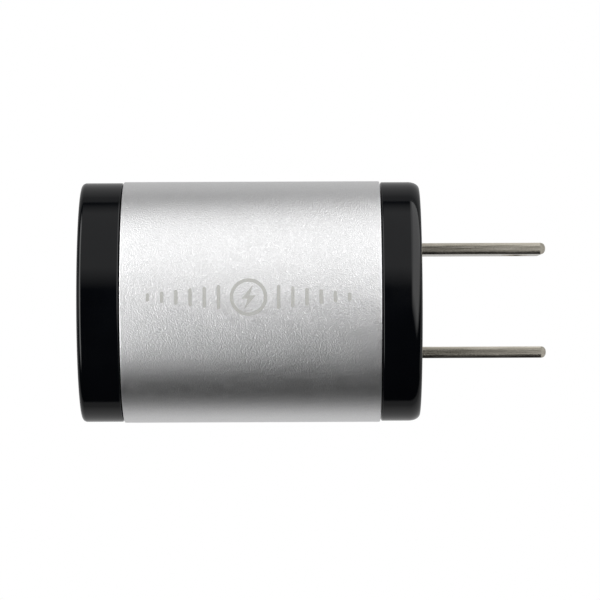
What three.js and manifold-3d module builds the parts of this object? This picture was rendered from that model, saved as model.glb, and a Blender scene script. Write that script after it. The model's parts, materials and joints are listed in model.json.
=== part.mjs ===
// A single-port USB wall charger with a North American two-blade plug, as an assembly of its real pieces.
// Millimetres. The origin is the centre of the face that meets the wall outlet. +X runs along the blades,
// into the wall, +Y across the two blades, and +Z up, along the blades' width.
import * as THREE from "three";
import { mergeVertices } from "three/addons/utils/BufferGeometryUtils.js";
import Module from "manifold-3d";

const wasm = await Module();
wasm.setup();

// ---------------------------------------------------------------- driving dimensions

// The body is an elliptical tube between two end caps.
const BODY = { width: 29.8, depth: 20.0, length: 41.6 };
const REAR_CAP_LENGTH = 4.7;
const FRONT_CAP_LENGTH = 5.0;
const SEAM_GAP = 0.2; // open groove between the sleeve and each cap
const CAP_STEP = 0.12; // how far the caps sit inside the sleeve's outer surface
const FRONT_FILLET = { length: 0.6, depth: 0.6 }; // around the front end face, along X and inwards
const REAR_FILLET = { length: 1.4, depth: 0.8 }; // around the face that meets the wall
const CAP_EDGE = 0.2; // small break of the edge at the seam
const END_WALL = 2.0; // thickness of both end faces
const SLEEVE_WALL = 0.9;
const SLEEVE_CHAMFER = 0.15;
const HOUSING_WALL = 1.2;
const SHELL_FIT = 0.15; // clearance between nested shells
const ELLIPSE_SIDES = 48;

// NEMA 1-15 plug.
const BLADE = { spacing: 12.7, thickness: 1.4, width: 6.35, reach: 15.4, tail: 4.6, edge: 0.18 };
const BLADE_TIP = { corner: 0.7, nose: 0.55 }; // rounding seen from the broad side, and from above
const BLADE_HOLE = { diameter: 3.1, fromWall: 11.9 };
const BLADE_FIT = 0.05;

// USB Type-A receptacle.
const PORT = { width: 12.5, height: 5.12, sheet: 0.3, length: 13.2, recess: 0.7, corner: 0.35 };
const PORT_APERTURE_FIT = 0.25; // around the shell, in the front cap
const TONGUE = { width: 11.1, thickness: 1.84, floor: 0.05, setback: 1.6 };
const CONTACT_PITCH = [-3.5, -1.0, 1.0, 3.5];
const CONTACT = { width: 1.0, tailWidth: 0.8, thickness: 0.2, groove: 1.3, crest: 0.53, reach: 7.1 };
const CONTACT_ROOT_HEIGHT = 0.75;

// Circuit board and what stands on it.
const BOARD = { thickness: 1.2, halfWidth: 10.6, front: -38.6, rear: -5.2 };
const LEAD = 0.48; // diameter of component leads
const LEAD_HOLE = 0.9;
const LEAD_END = 0.8; // how far leads and pins stand out under the board
const PART_GAP = 0.1; // air under a component

// ---------------------------------------------------------------- derived places

const X_FRONT = -BODY.length;
const X_REAR_SEAM = -REAR_CAP_LENGTH;
const X_SLEEVE_REAR = X_REAR_SEAM - SEAM_GAP;
const X_FRONT_SEAM = X_FRONT + FRONT_CAP_LENGTH;
const X_SLEEVE_FRONT = X_FRONT_SEAM + SEAM_GAP;
const SHELL_Z = PORT.height / 2 + PORT.sheet;
const SHELL_Y = PORT.width / 2 + PORT.sheet;
const BOARD_TOP = -SHELL_Z - 0.04;
const BOARD_BOTTOM = BOARD_TOP - BOARD.thickness;
const X_SHELL_FRONT = X_FRONT + PORT.recess;
const X_SHELL_BACK = X_SHELL_FRONT + PORT.length;
const X_TONGUE_FRONT = X_SHELL_FRONT + TONGUE.setback;
const X_BLOCK_FRONT = X_SHELL_BACK - 3.9;
const X_HINGE = X_BLOCK_FRONT - 0.05; // the line that a contact leaf bends about
const X_TAIL_BEND = X_SHELL_BACK - 1.3;

// ---------------------------------------------------------------- materials

function finish(color, roughness, metalness = 0) {
  return new THREE.MeshStandardMaterial({ color, roughness, metalness });
}

const GLOSS_BLACK = finish(0x0c0d0f, 0.12);
const SATIN_ALUMINIUM = finish(0xc9c9cb, 0.4, 1);
const NICKEL = finish(0xb0aa98, 0.35, 1);
const TINNED_STEEL = finish(0xc4c6c8, 0.28, 1);
const PORT_PLASTIC = finish(0xe8e6df, 0.45);
const GOLD_FLASH = finish(0xd9b25c, 0.25, 1);
const BOARD_LAMINATE = finish(0xa98a4e, 0.55);
const FERRITE = finish(0x35363a, 0.6);
const PHENOLIC = finish(0x1b1b1c, 0.5);
const POLYESTER_TAPE = finish(0xe3c43a, 0.35);
const CAN_ALUMINIUM = finish(0xcfd0d2, 0.3, 1);
const BLACK_WRAP = finish(0x17181c, 0.3);
const GREEN_WRAP = finish(0x1d4a33, 0.3);
const RUBBER = finish(0x232323, 0.8);
const TINNED_WIRE = finish(0xc8c8c6, 0.25, 1);
const RESISTOR_COAT = finish(0x6f8fa6, 0.6);
const INDUCTOR_COAT = finish(0x3f8a4f, 0.5);
const EPOXY_BLACK = finish(0x141414, 0.55);
const CERAMIC_BLUE = finish(0x2f6fb0, 0.45);
const WHITE_EPOXY = finish(0xe9e9e6, 0.5);
const WIRE_JACKET = finish(0x9c1f1c, 0.45);
const WIRE_JACKET_DARK = finish(0x1c1c1e, 0.45);
const CHIP_CERAMIC = finish(0x8a6a4a, 0.5);

// ---------------------------------------------------------------- solids and shapes

function toSolid(geometry) {
  const bare = geometry.clone();
  bare.deleteAttribute("normal");
  bare.deleteAttribute("uv");
  const merged = mergeVertices(bare, 1e-4);
  return new wasm.Manifold(
    new wasm.Mesh({
      numProp: 3,
      vertProperties: merged.attributes.position.array,
      triVerts: new Uint32Array(merged.index.array),
    }),
  );
}

function toGeometry(solid) {
  const mesh = solid.getMesh();
  const geometry = new THREE.BufferGeometry();
  geometry.setAttribute("position", new THREE.BufferAttribute(mesh.vertProperties, 3));
  geometry.setIndex(new THREE.BufferAttribute(mesh.triVerts, 1));
  geometry.computeVertexNormals();
  return geometry;
}

const join = (...solids) => solids.reduce((a, b) => a.add(b));
const cut = (solid, ...tools) => solid.subtract(join(...tools));

const around = (middle, half) => [middle - half, middle + half];

// A solid box by its range along X, Y and Z, each range in either order.
function block(...ranges) {
  const sizes = ranges.map(([a, b]) => Math.abs(b - a));
  const middles = ranges.map(([a, b]) => (a + b) / 2);
  return toSolid(new THREE.BoxGeometry(...sizes).translate(...middles));
}

// Half a step of offset puts a flat side at the top, the bottom and both ends of the ellipse.
function ellipsePoints(halfWidth, halfHeight, sides = ELLIPSE_SIDES) {
  return Array.from({ length: sides }, (_, i) => {
    const turn = (2 * Math.PI * (i + 0.5)) / sides;
    return new THREE.Vector2(halfWidth * Math.cos(turn), halfHeight * Math.sin(turn));
  });
}

function circlePoints(radius, sides, centreX = 0) {
  return ellipsePoints(radius, radius, sides).map(({ x, y }) => new THREE.Vector2(x + centreX, y));
}

// The body's section, moved in from the sleeve's outer surface by an inset. The middles of its sides lie on
// the true ellipse, so the body is exactly as wide and as deep as stated.
function bodySection(inset) {
  const outside = 1 / Math.cos(Math.PI / ELLIPSE_SIDES);
  const half = (size) => (size / 2 - inset) * outside;
  return new THREE.Shape(ellipsePoints(half(BODY.width), half(BODY.depth)));
}

function roundedRectangle(width, height, radius) {
  const [x, y] = [width / 2, height / 2];
  const shape = new THREE.Shape();
  shape.absarc(x - radius, y - radius, radius, 0, Math.PI / 2);
  shape.absarc(radius - x, y - radius, radius, Math.PI / 2, Math.PI);
  shape.absarc(radius - x, radius - y, radius, Math.PI, 1.5 * Math.PI);
  shape.absarc(x - radius, radius - y, radius, 1.5 * Math.PI, 2 * Math.PI);
  return shape;
}

// Extrudes a section drawn in Y and Z along X, from x0 to x1, with its edges broken by a bevel. The bevel
// reaches as far along X as it goes inwards, unless its own length is given.
function alongX(section, x0, x1, { bevel = 0, bevelLength = bevel, segments = 1, curveSegments = 3 } = {}) {
  const geometry = new THREE.ExtrudeGeometry(section, {
    depth: x1 - x0 - 2 * bevelLength,
    bevelEnabled: bevel > 0,
    bevelThickness: bevelLength,
    bevelSize: bevel,
    bevelOffset: -bevel,
    bevelSegments: segments,
    curveSegments,
  });
  const [x, y, z] = [new THREE.Vector3(1, 0, 0), new THREE.Vector3(0, 1, 0), new THREE.Vector3(0, 0, 1)];
  geometry.applyMatrix4(new THREE.Matrix4().makeBasis(y, z, x));
  return geometry.translate(x0 + bevelLength, 0, 0);
}

// Extrudes a profile drawn in X and Z across Y, centred on y = 0.
function acrossY(profile, thickness, { bevel = 0, curveSegments = 4 } = {}) {
  const geometry = new THREE.ExtrudeGeometry(profile, {
    depth: thickness - 2 * bevel,
    bevelEnabled: bevel > 0,
    bevelThickness: bevel,
    bevelSize: bevel,
    bevelOffset: -bevel,
    bevelSegments: 1,
    curveSegments,
  });
  geometry.translate(0, 0, bevel - thickness / 2);
  return geometry.rotateX(Math.PI / 2);
}

// Extrudes a plan drawn in X and Y upwards from z0 to z1.
function upwards(plan, z0, z1, curveSegments = 3) {
  const depth = z1 - z0;
  return new THREE.ExtrudeGeometry(plan, { depth, bevelEnabled: false, curveSegments }).translate(0, 0, z0);
}

// A round wire along a smooth route.
function wire(points, diameter, steps = 12, sides = 8) {
  const corners = points.map((point) => new THREE.Vector3(...point));
  const route = new THREE.CatmullRomCurve3(corners, false, "centripetal");
  const section = new THREE.Shape(circlePoints(diameter / 2, sides));
  return new THREE.ExtrudeGeometry(section, { extrudePath: route, steps, bevelEnabled: false });
}

// Turns a closed profile of [radius, along] pairs about the X axis.
function turned(profile, segments = 18) {
  const geometry = new THREE.LatheGeometry(profile.map(([r, x]) => new THREE.Vector2(r, x)), segments);
  return geometry.rotateZ(-Math.PI / 2);
}

const charger = new THREE.Group();

function place(name, geometry, material, position = [0, 0, 0], parent = charger) {
  const mesh = new THREE.Mesh(geometry, material);
  mesh.name = name;
  mesh.position.set(...position);
  parent.add(mesh);
  return mesh;
}

// ---------------------------------------------------------------- outer shells

// A cap's outer form: a fillet round its end face, and a small broken edge at the seam.
function capForm(endFace, seam, fillet) {
  const outward = Math.sign(endFace - seam);
  const spare = 5;
  const span = (a, b) => [Math.min(a, b), Math.max(a, b)];
  const filleted = alongX(bodySection(CAP_STEP), ...span(endFace, seam - outward * spare), {
    bevel: fillet.depth,
    bevelLength: fillet.length,
    segments: 4,
  });
  const broken = alongX(bodySection(CAP_STEP), ...span(endFace + outward * spare, seam), {
    bevel: CAP_EDGE,
    segments: 2,
  });
  return toSolid(filleted).intersect(toSolid(broken));
}

function makeSleeve() {
  const section = bodySection(0);
  section.holes.push(bodySection(SLEEVE_WALL));
  return alongX(section, X_SLEEVE_FRONT, X_SLEEVE_REAR, { bevel: SLEEVE_CHAMFER });
}

const TUBE_INSET = SLEEVE_WALL + SHELL_FIT; // outer surface of the housing's tube
const ROOM_INSET = TUBE_INSET + HOUSING_WALL; // inner surface of the housing's tube
const X_TUBE_END = X_FRONT + END_WALL + 0.2;

// Small lugs on the tube's long sides click into pockets in the front cap.
const LUG = { length: 1.0, height: 4.0, rise: 0.35, fromEnd: 1.4 };

function lugAt(side, grow) {
  const reach = BODY.width / 2 - TUBE_INSET;
  const x = X_TUBE_END + LUG.fromEnd + LUG.length / 2;
  return block(
    around(x, LUG.length / 2 + grow),
    [side * (reach - 0.6), side * (reach + LUG.rise + grow)],
    around(0, LUG.height / 2 + grow),
  );
}

function makeFrontCap() {
  const cup = alongX(bodySection(SLEEVE_WALL), X_FRONT + END_WALL, X_FRONT_SEAM + 1);
  const grow = 2 * PORT_APERTURE_FIT;
  const aperture = roundedRectangle(2 * SHELL_Y + grow, 2 * SHELL_Z + grow, 0.9);
  return toGeometry(
    cut(
      capForm(X_FRONT, X_FRONT_SEAM, FRONT_FILLET),
      toSolid(cup),
      toSolid(alongX(aperture, X_FRONT - 1, X_FRONT + END_WALL + 1)),
      lugAt(1, 0.1),
      lugAt(-1, 0.1),
    ),
  );
}

const BOSS = { depth: 1.6, halfThickness: 1.9, halfWidth: 4.4 };
const LEDGE = { height: 0.7, gap: 0.15 };
const LOWER_LEDGE = { inner: 9.0, outer: 10.9, spans: [[-36.5, -28.5], [-25.5, -16.5]] };
const UPPER_LEDGE = { inner: 9.7, outer: 12.3, span: [-36.5, -29.5] };

// The rear cap and the insulating tube that carries the sleeve are one moulding.
function makeRearHousing() {
  const tube = toSolid(alongX(bodySection(TUBE_INSET), X_TUBE_END, -1));
  const room = toSolid(alongX(bodySection(ROOM_INSET), X_TUBE_END - 1, -END_WALL));
  let housing = cut(join(capForm(0, X_REAR_SEAM, REAR_FILLET), tube), room);
  housing = join(housing, lugAt(1, 0), lugAt(-1, 0));
  for (const side of [-1, 1]) {
    const y = (side * BLADE.spacing) / 2;
    const bossX = [-END_WALL - BOSS.depth, -END_WALL + 0.5];
    const boss = block(bossX, around(y, BOSS.halfThickness), around(0, BOSS.halfWidth));
    const slotY = around(y, BLADE.thickness / 2 + BLADE_FIT);
    const slotZ = around(0, BLADE.width / 2 + BLADE_FIT);
    housing = cut(join(housing, boss), block([-10, 1], slotY, slotZ));
    housing = join(housing, ...boardLedges(side));
  }
  return toGeometry(housing);
}

// The board slides in between these ledges along the tube's sides.
function boardLedges(side) {
  const ledge = ({ inner, outer }, spanX, z) => {
    return block(spanX, [side * inner, side * outer], [z, z + LEDGE.height]);
  };
  const below = BOARD_BOTTOM - LEDGE.gap - LEDGE.height;
  const above = BOARD_TOP + LEDGE.gap;
  return [
    ...LOWER_LEDGE.spans.map((span) => ledge(LOWER_LEDGE, span, below)),
    ledge(UPPER_LEDGE, UPPER_LEDGE.span, above),
  ];
}

place("front_cap", makeFrontCap(), GLOSS_BLACK);
place("metal_sleeve", makeSleeve(), SATIN_ALUMINIUM);
place("rear_housing", makeRearHousing(), GLOSS_BLACK);

// ---------------------------------------------------------------- plug blades

// The blade's broad side: rounded at the tip, with a round hole, and stepped down to a solder tab inside.
function bladeOutline() {
  const half = BLADE.width / 2;
  const r = BLADE_TIP.corner;
  const step = -END_WALL - 0.9;
  const tab = { bottom: -2.4, top: 0.6 };
  const outline = new THREE.Shape();
  outline.moveTo(-BLADE.tail, tab.bottom);
  outline.lineTo(step, tab.bottom);
  outline.lineTo(step, -half);
  outline.absarc(BLADE.reach - r, r - half, r, -Math.PI / 2, 0);
  outline.absarc(BLADE.reach - r, half - r, r, 0, Math.PI / 2);
  outline.lineTo(step, half);
  outline.lineTo(step, tab.top);
  outline.lineTo(-BLADE.tail, tab.top);
  outline.closePath();
  outline.holes.push(new THREE.Path(circlePoints(BLADE_HOLE.diameter / 2, 16, BLADE_HOLE.fromWall)));
  return outline;
}

// The blade seen from above, with its nose rounded from side to side.
function bladeNose() {
  const half = BLADE.thickness / 2;
  const r = BLADE_TIP.nose;
  const plan = new THREE.Shape();
  plan.moveTo(-BLADE.tail - 1, -half);
  plan.absarc(BLADE.reach - r, r - half, r, -Math.PI / 2, 0);
  plan.absarc(BLADE.reach - r, half - r, r, 0, Math.PI / 2);
  plan.lineTo(-BLADE.tail - 1, half);
  plan.closePath();
  return upwards(plan, -BLADE.width, BLADE.width, 4);
}

function makeBlade() {
  const plate = acrossY(bladeOutline(), BLADE.thickness, { bevel: BLADE.edge });
  return toGeometry(toSolid(plate).intersect(toSolid(bladeNose())));
}

place("blade_line", makeBlade(), NICKEL, [0, BLADE.spacing / 2, 0]);
place("blade_neutral", makeBlade(), NICKEL, [0, -BLADE.spacing / 2, 0]);

// ---------------------------------------------------------------- USB receptacle

const LEG = { x: [-36.4, -31.6], width: 1.3 };

// A stamped steel shell, open at the front, with two retaining springs above and two below.
function makeUsbShell() {
  const outer = roundedRectangle(2 * SHELL_Y, 2 * SHELL_Z, PORT.corner + PORT.sheet);
  const inner = roundedRectangle(PORT.width, PORT.height, PORT.corner);
  let shell = toSolid(alongX(outer, X_SHELL_FRONT, X_SHELL_BACK));
  shell = cut(shell, toSolid(alongX(inner, X_SHELL_FRONT - 1, X_SHELL_BACK - PORT.sheet)));
  // The floor is open at the back, where the contact tails go down.
  const floorZ = [-SHELL_Z - 1, -PORT.height / 2 + 0.2];
  shell = cut(shell, block([X_BLOCK_FRONT + 0.9, X_SHELL_BACK + 1], around(0, 5.4), floorZ));
  for (const y of [-3.2, 3.2]) {
    for (const side of [-1, 1]) {
      shell = cut(shell, springSlit(y, side));
      shell = join(shell, springDimple(y, side));
    }
  }
  for (const x of LEG.x) {
    for (const side of [-1, 1]) {
      const legY = [side * (SHELL_Y - PORT.sheet), side * SHELL_Y];
      shell = join(shell, block(around(x, LEG.width / 2), legY, [BOARD_BOTTOM - LEAD_END, 0.8 - SHELL_Z]));
    }
  }
  return toGeometry(shell);
}

const SPRING = { front: 2.2, length: 5.0, width: 2.2, slit: 0.35 };

// The U-shaped slit that frees one retaining spring from the shell's top or bottom.
function springSlit(y, side) {
  const x0 = X_SHELL_FRONT + SPRING.front;
  const half = SPRING.width / 2;
  const outer = half + SPRING.slit;
  const sheetZ = [side * (PORT.height / 2 - 0.2), side * (SHELL_Z + 0.5)];
  return join(
    block([x0, x0 + SPRING.length], [y - outer, y - half], sheetZ),
    block([x0, x0 + SPRING.length], [y + half, y + outer], sheetZ),
    block([x0, x0 + SPRING.slit], around(y, outer), sheetZ),
  );
}

// The pressed dimple near the spring's free end that grips the plug.
function springDimple(y, side) {
  const x = X_SHELL_FRONT + SPRING.front + 1.3;
  const bump = new THREE.SphereGeometry(0.6, 10, 6).scale(1, 1, 0.45);
  return toSolid(bump.translate(x, y, side * (PORT.height / 2)));
}

// The moulded insulator: a block that fills the shell's back, and the tongue that carries the contacts.
function makeUsbInsulator() {
  const fit = 0.15;
  const base = block(
    [X_BLOCK_FRONT, X_SHELL_BACK - PORT.sheet - fit],
    around(0, PORT.width / 2 - fit),
    around(0, PORT.height / 2 - fit),
  );
  const tongueZ = [TONGUE.floor, TONGUE.floor + TONGUE.thickness];
  const tongue = block([X_TONGUE_FRONT, X_BLOCK_FRONT + 1], around(0, TONGUE.width / 2), tongueZ);
  const channels = CONTACT_PITCH.flatMap((y) => contactChannel(around(y, CONTACT.groove / 2)));
  return toGeometry(cut(join(base, tongue), ...channels));
}

// The groove under the tongue, and the way back and down through the block for the contact's tail.
function contactChannel(grooveY) {
  const roof = TONGUE.floor + TONGUE.thickness - 0.5;
  const top = CONTACT_ROOT_HEIGHT + 0.35;
  const back = X_TAIL_BEND + 0.3;
  return [
    block([X_TONGUE_FRONT + 0.4, X_BLOCK_FRONT], grooveY, [TONGUE.floor - 1, roof]),
    block([X_BLOCK_FRONT - 0.1, back], grooveY, [top - 0.7, top]),
    block([X_TAIL_BEND - 0.4, back], grooveY, [-PORT.height / 2 - 1, top]),
  ];
}

// A contact's spring leaf, from the line it bends about: it runs forward, bows below the tongue to its
// crest, and turns back up at the tip. Drawn in X and Z about that line.
function leafProfile() {
  const z = CONTACT_ROOT_HEIGHT;
  const spine = new THREE.SplineCurve([
    new THREE.Vector2(-0.15, 0),
    new THREE.Vector2(-2.2, 0),
    new THREE.Vector2(-3.6, -0.25),
    new THREE.Vector2(-4.9, -z - CONTACT.crest + 0.42),
    new THREE.Vector2(-5.7, -z - CONTACT.crest + 0.15),
    new THREE.Vector2(-6.4, -z - CONTACT.crest + 0.4),
    new THREE.Vector2(-CONTACT.reach, -0.3),
  ]);
  const points = spine.getSpacedPoints(18);
  const side = (sign) =>
    points.map((p, i) => {
      const tangent = spine.getTangentAt(i / (points.length - 1));
      const normal = new THREE.Vector2(-tangent.y, tangent.x);
      return p.clone().addScaledVector(normal, (sign * CONTACT.thickness) / 2);
    });
  return new THREE.Shape([...side(1), ...side(-1).reverse()]);
}

// A contact's fixed tail: back through the block, then down through the board.
function tailProfile() {
  const z = CONTACT_ROOT_HEIGHT;
  const t = CONTACT.thickness / 2;
  const bottom = BOARD_BOTTOM - LEAD_END;
  return new THREE.Shape([
    new THREE.Vector2(X_HINGE + 0.15, z - t),
    new THREE.Vector2(X_TAIL_BEND - t, z - t),
    new THREE.Vector2(X_TAIL_BEND - t, bottom),
    new THREE.Vector2(X_TAIL_BEND + t, bottom),
    new THREE.Vector2(X_TAIL_BEND + t, z + t),
    new THREE.Vector2(X_HINGE + 0.15, z + t),
  ]);
}

place("usb_shell", makeUsbShell(), TINNED_STEEL);
place("usb_insulator", makeUsbInsulator(), PORT_PLASTIC);
CONTACT_PITCH.forEach((y, i) => {
  const leaf = acrossY(leafProfile(), CONTACT.width);
  const tail = acrossY(tailProfile(), CONTACT.tailWidth);
  place(`usb_contact_leaf_${i + 1}`, leaf, GOLD_FLASH, [X_HINGE, y, CONTACT_ROOT_HEIGHT]);
  place(`usb_contact_tail_${i + 1}`, tail, GOLD_FLASH, [0, y, 0]);
});

// ---------------------------------------------------------------- parts on the board

// Every lead that goes through the board adds its place here, and the board is drilled there at the end.
const drilled = [];

// A radial electrolytic capacitor lying along X, with its leads bent down through the board.
// The can has a rolled groove near its open end, which faces the leads.
function electrolytic(name, { diameter, length, y, canFront, leadSide, wrap, pitch }) {
  const r = diameter / 2;
  const group = new THREE.Group();
  group.position.set(canFront + length / 2, y, BOARD_TOP + PART_GAP + r);
  group.rotation.z = leadSide > 0 ? 0 : Math.PI;
  charger.add(group);

  const wall = 0.25;
  const skin = 0.12;
  const can = r - skin - 0.03;
  const [closed, open] = [-length / 2, length / 2];
  const neck = open - 1.6;
  const canProfile = [
    [0, closed],
    [can - 0.4, closed],
    [can, closed + 0.4],
    [can, neck - 0.4],
    [can - 0.35, neck],
    [can, neck + 0.4],
    [can, open - 0.25],
    [can - 0.25, open],
    [can - 0.25 - wall, open],
    [can - 0.35 - wall, neck],
    [0, neck - 0.2],
  ];
  const wrapProfile = [
    [can + 0.03, closed + 0.5],
    [r, closed + 0.5],
    [r, open - 0.35],
    [can + 0.03, open - 0.35],
    [can + 0.03, closed + 0.5],
  ];
  const bungRadius = can - 0.35 - wall - 0.08;
  const leadY = pitch / 2;
  const bungShape = new THREE.Shape(circlePoints(bungRadius, 16));
  for (const side of [-1, 1]) {
    bungShape.holes.push(new THREE.Path(circlePoints(LEAD / 2 + 0.1, 8, side * leadY)));
  }
  place(`${name}_can`, turned(canProfile), CAN_ALUMINIUM, [0, 0, 0], group);
  place(`${name}_wrap`, turned(wrapProfile), wrap, [0, 0, 0], group);
  place(`${name}_bung`, alongX(bungShape, neck + 0.1, open - 0.1), RUBBER, [0, 0, 0], group);

  const bend = open + 0.35;
  const down = -r - PART_GAP - BOARD.thickness - LEAD_END;
  for (const [label, side] of [
    ["plus", 1],
    ["minus", -1],
  ]) {
    const route = [
      [neck + 0.3, 0, 0],
      [open - 0.05, 0, 0],
      [bend, 0, -0.4],
      [bend, 0, -r],
      [bend, 0, down],
    ];
    const lead = wire(route, LEAD, 10, 6);
    place(`${name}_lead_${label}`, lead, TINNED_WIRE, [0, side * leadY, 0], group);
    const turn = leadSide > 0 ? 1 : -1;
    drilled.push([group.position.x + turn * bend, y + turn * side * leadY]);
  }
}

const INPUT_CAPACITOR = {
  diameter: 8.0,
  length: 9.0,
  canFront: -15.9,
  leadSide: 1,
  wrap: BLACK_WRAP,
  pitch: 3.5,
};
electrolytic("input_capacitor_1", { ...INPUT_CAPACITOR, y: 4.25 });
electrolytic("input_capacitor_2", { ...INPUT_CAPACITOR, y: -4.25 });
electrolytic("output_capacitor", {
  diameter: 6.3,
  length: 9.0,
  y: 8.05,
  canFront: -26.6,
  leadSide: -1,
  wrap: GREEN_WRAP,
  pitch: 2.5,
});

// An axial part: a coated body with one lead through it, bent down at both ends.
function axialPart(name, { x, y, length, diameter, waist, span, coat }) {
  const bore = LEAD / 2 + 0.1;
  const r = diameter / 2;
  const h = length / 2;
  const body = [
    [bore, -h],
    [r - 0.3, -h],
    [r, -h + 0.4],
    [r, -h + 1.4],
    [r - waist, -h + 1.9],
    [r - waist, h - 1.9],
    [r, h - 1.4],
    [r, h - 0.4],
    [r - 0.3, h],
    [bore, h],
    [bore, -h],
  ];
  const z = BOARD_TOP + PART_GAP + r;
  const down = BOARD_BOTTOM - LEAD_END - z;
  const bend = span / 2;
  const route = [
    [-bend, 0, down],
    [-bend, 0, -1.2],
    [-bend + 0.35, 0, -0.12],
    [-h + 0.2, 0, 0],
    [h - 0.2, 0, 0],
    [bend - 0.35, 0, -0.12],
    [bend, 0, -1.2],
    [bend, 0, down],
  ];
  place(`${name}_body`, turned(body, 16), coat, [x, y, z]);
  place(`${name}_lead`, wire(route, LEAD, 22, 6), TINNED_WIRE, [x, y, z]);
  drilled.push([x - bend, y], [x + bend, y]);
}

const AXIAL = { x: -11.0, length: 6.4, diameter: 3.0, span: 8.6 };
axialPart("fuse_resistor", { ...AXIAL, y: 9.4, waist: 0.25, coat: RESISTOR_COAT });
axialPart("input_inductor", { ...AXIAL, y: -9.4, waist: 0, coat: INDUCTOR_COAT });

// ---------------------------------------------------------------- transformer

// An EE10 core on a horizontal bobbin.
const CORE = { width: 10.2, half: 5.5, thickness: 4.75, outerLeg: 1.25, centreLeg: 2.45, back: 1.3 };
const TRANSFORMER = { x: -21.8, y: -0.5, z: 1.95 };
const BOBBIN = { flange: 0.7, flangeAt: 4.05, flangeY: 3.7, flangeZ: 4.65, wall: 0.6, fit: 0.1 };
const PIN = { x: 4.9, rows: [-3.75, -1.25, 1.25, 3.75], half: 0.3 };
const CORE_TAPE = { thickness: 0.12, height: 3.6, gap: 0.06 };

// One E of the core, with its open side facing +X and its back at x = 0.
function corePlan() {
  const y = CORE.width / 2;
  const inner = y - CORE.outerLeg;
  const centre = CORE.centreLeg / 2;
  const tip = CORE.half - 0.02;
  const corners = [
    [0, -y], [tip, -y], [tip, -inner], [CORE.back, -inner], [CORE.back, -centre], [tip, -centre],
    [tip, centre], [CORE.back, centre], [CORE.back, inner], [tip, inner], [tip, y], [0, y],
  ];
  return new THREE.Shape(corners.map(([a, b]) => new THREE.Vector2(a, b)));
}

function makeBobbin() {
  const bore = roundedRectangle(CORE.centreLeg + 2 * BOBBIN.fit, CORE.thickness + 2 * BOBBIN.fit, 0.2);
  const grow = 2 * (BOBBIN.fit + BOBBIN.wall);
  const barrel = roundedRectangle(CORE.centreLeg + grow, CORE.thickness + grow, 0.5);
  const flange = roundedRectangle(2 * BOBBIN.flangeY, 2 * BOBBIN.flangeZ, 0.8);
  const outer = BOBBIN.flangeAt;
  const parts = [toSolid(alongX(barrel, -outer, outer))];
  const railZ = [-BOBBIN.flangeZ, -CORE.thickness / 2 - 0.15];
  const pinZ = [BOARD_BOTTOM - LEAD_END - TRANSFORMER.z, 0.3 - BOBBIN.flangeZ];
  for (const side of [-1, 1]) {
    const middle = side * (outer - BOBBIN.flange / 2);
    parts.push(toSolid(alongX(flange, ...around(middle, BOBBIN.flange / 2))));
    parts.push(block([side * (outer - 0.5), side * 5.5], around(0, 4.9), railZ));
    for (const y of PIN.rows) {
      parts.push(block(around(side * PIN.x, PIN.half), around(y, PIN.half), pinZ));
      drilled.push([TRANSFORMER.x + side * PIN.x, TRANSFORMER.y + y]);
    }
  }
  return toGeometry(cut(join(...parts), toSolid(alongX(bore, -outer - 1, outer + 1))));
}

function makeWinding() {
  const outer = roundedRectangle(7.2, 8.9, 1.6);
  const fit = 2 * (BOBBIN.fit + BOBBIN.wall + 0.06);
  outer.holes.push(roundedRectangle(CORE.centreLeg + fit, CORE.thickness + fit, 0.55));
  const reach = BOBBIN.flangeAt - BOBBIN.flange - 0.06;
  return alongX(outer, -reach, reach, { curveSegments: 5 });
}

function makeCoreTape() {
  const t = CORE_TAPE.thickness;
  const gap = CORE_TAPE.gap;
  const outer = roundedRectangle(2 * CORE.half + 2 * (t + gap), CORE.width + 2 * (t + gap), 0.25);
  outer.holes.push(roundedRectangle(2 * CORE.half + 2 * gap, CORE.width + 2 * gap, 0.04));
  return upwards(outer, -CORE_TAPE.height / 2, CORE_TAPE.height / 2);
}

function addTransformer() {
  const group = new THREE.Group();
  group.position.set(TRANSFORMER.x, TRANSFORMER.y, TRANSFORMER.z);
  charger.add(group);
  const half = CORE.thickness / 2;
  place("transformer_bobbin", makeBobbin(), PHENOLIC, [0, 0, 0], group);
  place("transformer_winding", makeWinding(), POLYESTER_TAPE, [0, 0, 0], group);
  place("transformer_core_front", upwards(corePlan(), -half, half), FERRITE, [-CORE.half, 0, 0], group);
  const rear = upwards(corePlan(), -half, half).rotateZ(Math.PI);
  place("transformer_core_rear", rear, FERRITE, [CORE.half, 0, 0], group);
  place("transformer_tape", makeCoreTape(), POLYESTER_TAPE, [0, 0, 0], group);
}

addTransformer();

// ---------------------------------------------------------------- small parts

// A moulded chip body hung under the board, with half of its leads on each long side.
function surfaceChip(name, { at, body, leads, coat, turn = 0 }) {
  const [length, width, height] = body;
  const top = BOARD_BOTTOM - PART_GAP;
  const solids = [block(around(0, length / 2), around(0, width / 2), [top - height, top])];
  const pitch = length / (leads / 2);
  for (let i = 0; i < leads / 2; i += 1) {
    const x = (i + 0.5) * pitch - length / 2;
    solids.push(block(around(x, 0.2), around(0, width / 2 + 0.7), [top - 0.2, top - 0.01]));
  }
  place(name, toGeometry(join(...solids)), coat, [...at, 0]).rotation.z = turn;
}

const QUARTER_TURN = Math.PI / 2;
surfaceChip("bridge_rectifier", { at: [-9.5, 0], body: [4.7, 3.9, 2.2], leads: 4, coat: EPOXY_BLACK });
surfaceChip("controller_ic", { at: [-13.2, -5.0], body: [4.9, 3.9, 1.5], leads: 8, coat: EPOXY_BLACK });
const OPTOCOUPLER = { body: [2.6, 4.4, 1.9], leads: 4, coat: WHITE_EPOXY };
surfaceChip("optocoupler", { ...OPTOCOUPLER, at: [TRANSFORMER.x, 5.9], turn: QUARTER_TURN });

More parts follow.
